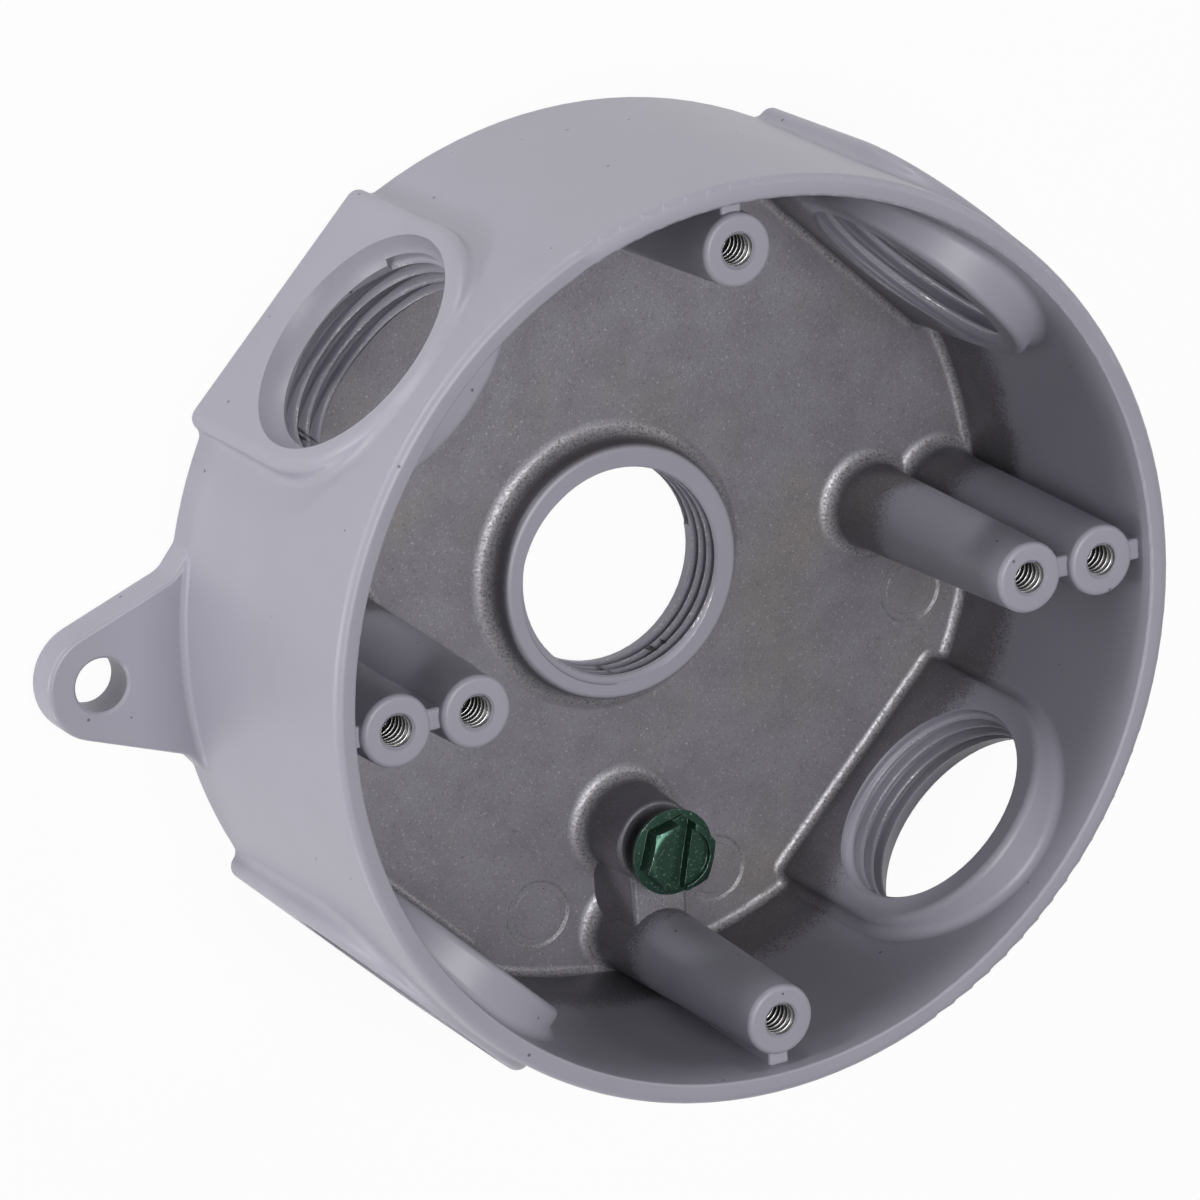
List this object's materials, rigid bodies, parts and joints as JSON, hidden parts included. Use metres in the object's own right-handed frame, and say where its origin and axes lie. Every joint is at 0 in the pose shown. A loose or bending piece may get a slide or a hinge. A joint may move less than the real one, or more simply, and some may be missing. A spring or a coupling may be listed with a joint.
{
  "type": "weatherproof splice box",
  "caption": "Round die-cast weatherproof splice box with threaded side and back outlets, tapped cover posts, mounting lugs and a green ground screw.",
  "frame": {"origin": "centre of the flat back face", "axes": "+Z out of the open front, X through the two mounting lugs, -Y towards the ground screw"},
  "size_m": [0.1398, 0.1068, 0.04],
  "materials": {
    "painted_casting": "satin grey powder coat over die-cast metal, bare on the floor and in the tapped holes",
    "green_screw": "green dyed zinc plating"
  },
  "bodies": {
    "box": {"box_body": "painted_casting"},
    "ground_screw": {"ground_screw": "green_screw"}
  },
  "joints": [
    {"name": "ground_screw", "type": "slide", "parent": "box", "child": "ground_screw", "axis": [0, 0, 1], "range_m": [-0.00317, 0.00317]}
  ]
}
